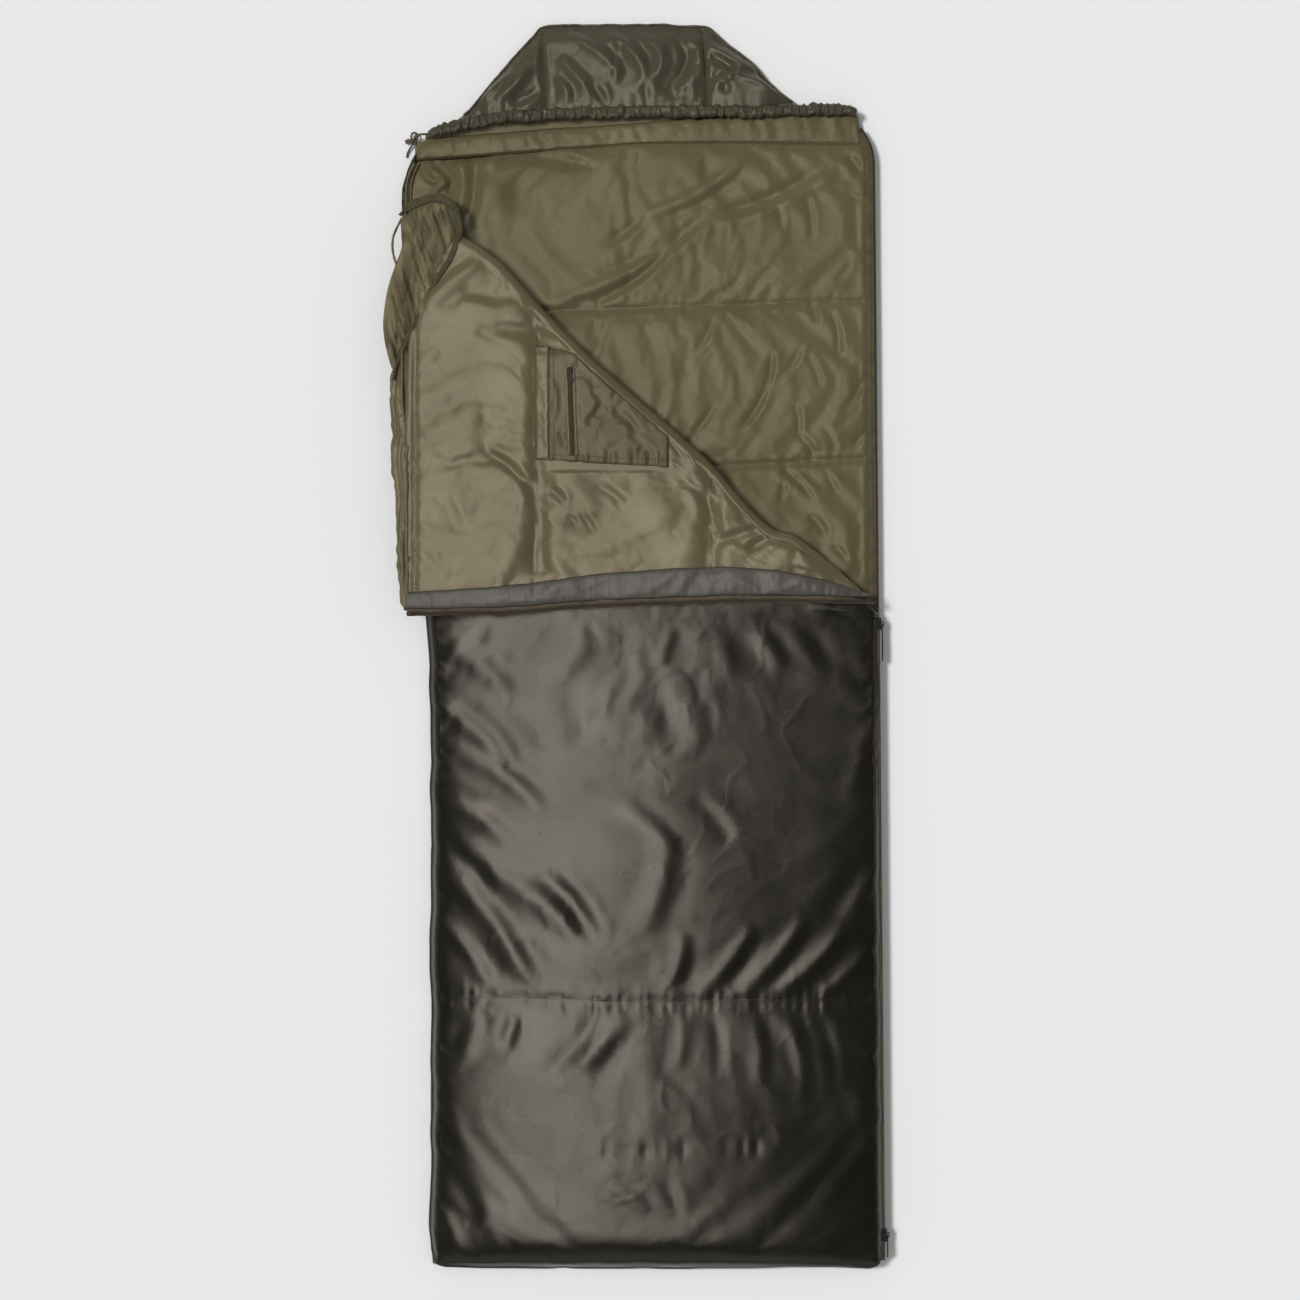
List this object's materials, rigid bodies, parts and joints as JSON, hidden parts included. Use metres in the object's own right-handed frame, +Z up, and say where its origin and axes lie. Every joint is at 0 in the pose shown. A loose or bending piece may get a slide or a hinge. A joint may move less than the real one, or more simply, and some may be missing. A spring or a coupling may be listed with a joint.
{
  "type": "sleeping bag",
  "caption": "Rectangular hooded sleeping bag laid flat, side zip half open and the upper front corner folded back to show the lining and inner pocket.",
  "frame": {"origin": "on the ground, on the underside of the back panel, midway across the foot end and near the middle of its length", "axes": "+Y towards the head and hood, +X towards the zip side, +Z up from the ground"},
  "size_m": [0.8296, 2.0716, 0.0712],
  "materials": {
    "shell": "satin woven nylon",
    "lining": "satin woven nylon",
    "batting": "matte fibre batting",
    "draft_tube": "satin woven nylon",
    "zip_tape": "matte woven tape",
    "zip_coil": "moulded nylon coil",
    "net": "fine knitted mesh",
    "binding": "matte woven tape",
    "cord": "matte braid",
    "metal": "dark painted zinc",
    "pull": "matte cord and plastic"
  },
  "bodies": {
    "bag": {"back_shell": "shell", "back_insulation": "batting", "back_lining": "lining", "front_lining": "lining", "front_insulation": "batting", "front_shell_upper": "shell", "front_shell_foot": "shell", "side_wall": "shell", "foot_wall": "shell", "neck_facing": "lining", "zip_tape_back": "zip_tape", "zip_tape_front": "zip_tape", "zip_coil_back": "zip_coil", "zip_coil_front": "zip_coil", "zip_bottom_stop": "metal", "zip_top_stop_back": "metal", "draft_tube_lower": "draft_tube"},
    "flap": {"flap_shell": "shell", "flap_insulation": "batting", "flap_lining": "lining", "flap_hem": "lining", "flap_zip_tape": "zip_tape", "flap_zip_coil": "zip_coil", "flap_zip_top_stop": "metal", "flap_draft_tube": "draft_tube", "pocket_pouch": "lining", "pocket_welt": "lining", "pocket_zip_tape": "zip_tape", "pocket_zip_coil": "zip_coil", "net_panel": "net", "net_binding": "binding"},
    "hood": {"hood_back_shell": "shell", "hood_insulation": "batting", "hood_lining": "lining", "hood_cord_channel": "shell", "hood_drawcord": "cord", "hood_panel_left": "shell", "hood_panel_centre": "shell", "hood_panel_right": "shell", "hood_crown_seam": "shell", "hood_cord_tail": "cord", "hood_cord_knot": "cord"},
    "main_slider": {"main_zip_slider": "metal"},
    "main_pull": {"main_zip_pull": "pull"},
    "foot_slider": {"foot_zip_slider": "metal"},
    "foot_pull": {"foot_zip_pull": "pull"},
    "pocket_slider": {"pocket_zip_slider": "metal"},
    "pocket_pull": {"pocket_zip_pull": "metal"}
  },
  "joints": [
    {"name": "flap_fold", "type": "hinge", "parent": "bag", "child": "flap", "pos_m": [0.37173, 0.1477, 0.0441], "axis": [-0.723, 0.6909, 0], "range_deg": [0, 179.97]},
    {"name": "hood_lift", "type": "hinge", "parent": "bag", "child": "hood", "pos_m": [-0.412, 0.912, 0.0155], "axis": [0.9974, 0.0723, 0], "range_deg": [0, 75]},
    {"name": "main_zip_slide", "type": "slide", "parent": "bag", "child": "main_slider", "axis": [-0.0086, 1, 0], "range_m": [-0.945, 0.79]},
    {"name": "main_pull_swing", "type": "hinge", "parent": "main_slider", "child": "main_pull", "pos_m": [0.37918, 0.11806, 0.0213], "axis": [0, 0, 1], "range_deg": [0, 170]},
    {"name": "foot_zip_slide", "type": "slide", "parent": "bag", "child": "foot_slider", "axis": [-0.0086, 1, 0], "range_m": [-0.018, 0.93]},
    {"name": "foot_pull_swing", "type": "hinge", "parent": "foot_slider", "child": "foot_pull", "pos_m": [0.38795, -0.9009, 0.0213], "axis": [0, 0, 1], "range_deg": [0, 170]},
    {"name": "pocket_zip_slide", "type": "slide", "parent": "flap", "child": "pocket_slider", "axis": [-0.0368, 0.9993, 0], "range_m": [-0.126, 0]},
    {"name": "pocket_pull_swing", "type": "hinge", "parent": "pocket_slider", "child": "pocket_pull", "pos_m": [-0.13894, 0.53719, 0.0681], "axis": [-0.9993, -0.0368, 0], "range_deg": [0, 175]}
  ]
}
